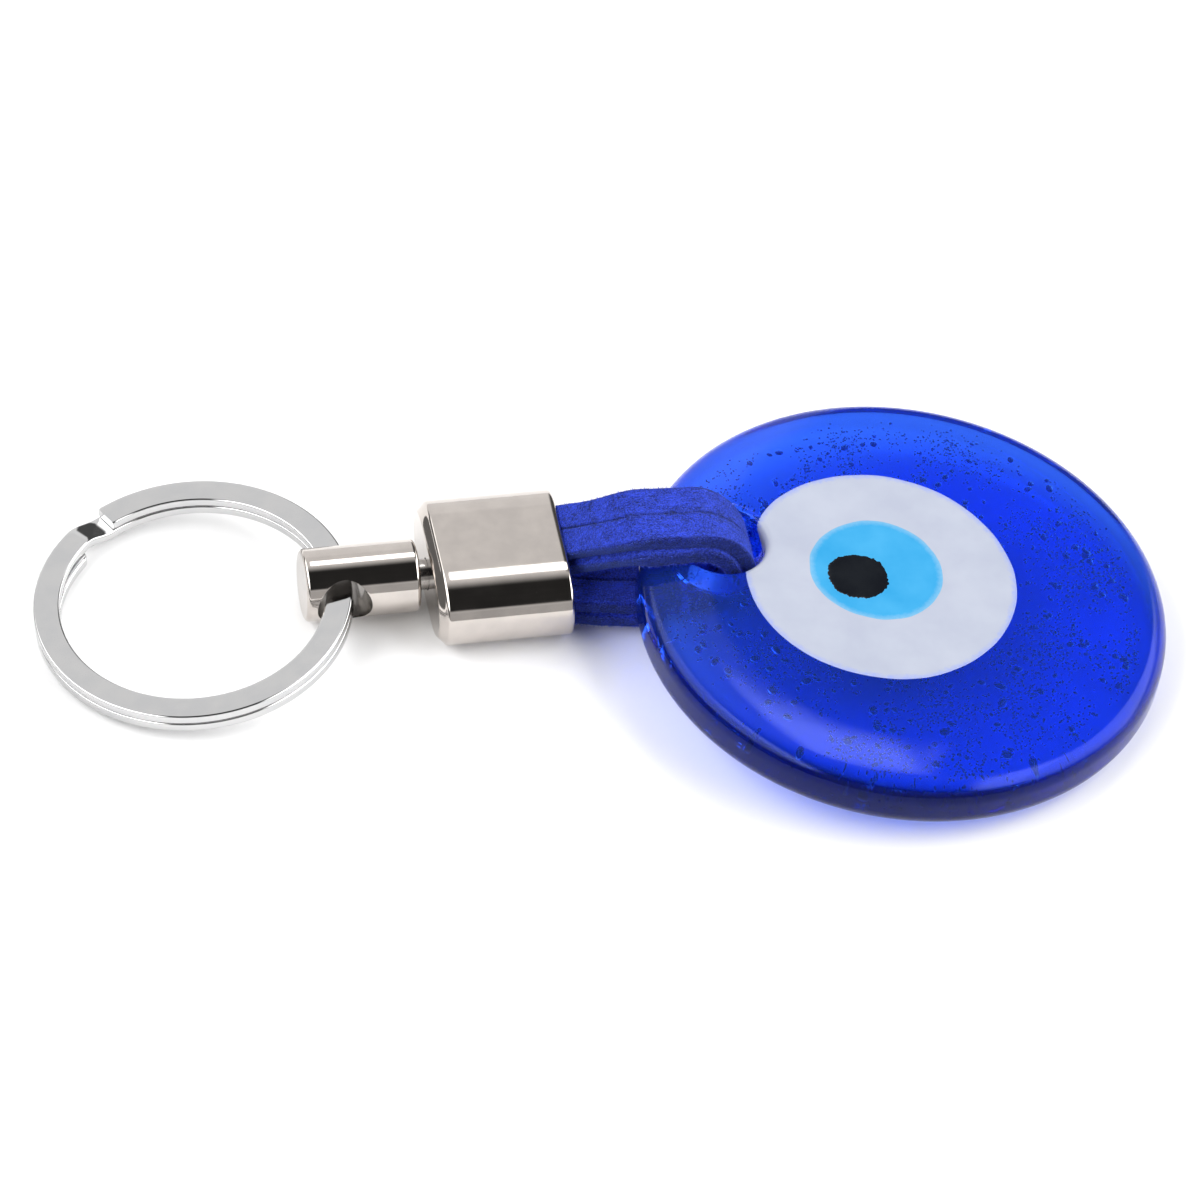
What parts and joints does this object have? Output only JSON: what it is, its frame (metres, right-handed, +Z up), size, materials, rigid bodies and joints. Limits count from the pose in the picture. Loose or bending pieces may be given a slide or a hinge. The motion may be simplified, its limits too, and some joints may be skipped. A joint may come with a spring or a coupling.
{
  "type": "key ring ornament",
  "caption": "Evil eye key ring: split ring, swivel barrel on a stadium-shaped metal end cap, flat suede laces looped through a round blue glass eye disc.",
  "frame": {"origin": "middle of the object's box, on the table that it lies on", "axes": "+X from the split ring to the glass disc, +Y away from the viewer, +Z up through the glass disc's face"},
  "size_m": [0.1054, 0.0514, 0.013],
  "materials": {
    "ring_chrome": "polished nickel plate on a split steel ring",
    "nickel": "warm polished nickel plate",
    "glue": "set adhesive, dull amber",
    "suede": "royal blue suede, napped",
    "cobalt_glass": "fire-polished transparent cobalt glass with bubbles",
    "white_glass": "opaque white glass, fire-polished",
    "light_blue_glass": "opaque light blue glass, fire-polished",
    "pupil_glass": "opaque near-black glass, fire-polished"
  },
  "bodies": {
    "cap": {"end_cap": "nickel", "glue_plug": "glue", "lace_ends": "suede"},
    "swivel": {"swivel_barrel": "nickel", "swivel_rivet": "nickel"},
    "ring": {"split_ring": "ring_chrome"},
    "strap": {"outer_lace_back": "suede", "outer_lace_front": "suede", "inner_lace_back": "suede", "inner_lace_front": "suede"},
    "disc": {"glass_disc": "cobalt_glass", "white_glass": "white_glass", "light_blue_glass": "light_blue_glass", "pupil_glass": "pupil_glass"}
  },
  "joints": [
    {"name": "barrel_swivel", "type": "hinge", "parent": "cap", "child": "swivel", "pos_m": [-0.01607, 0.01074, 0.004], "axis": [1, 0, 0], "continuous": true},
    {"name": "ring_swing", "type": "hinge", "parent": "swivel", "child": "ring", "pos_m": [-0.02402, 0.01074, 0.00429], "axis": [0, 1, 0], "range_deg": [-125, 150]},
    {"name": "strap_bend", "type": "hinge", "parent": "cap", "child": "strap", "pos_m": [-0.00279, 0.01074, 0.004], "axis": [0, 1, 0], "range_deg": [-30, 30]},
    {"name": "disc_swing", "type": "hinge", "parent": "strap", "child": "disc", "pos_m": [0.01136, 0.00628, 0.00691], "axis": [0.0932, -0.0203, 0.9954], "range_deg": [-10, 40]}
  ]
}
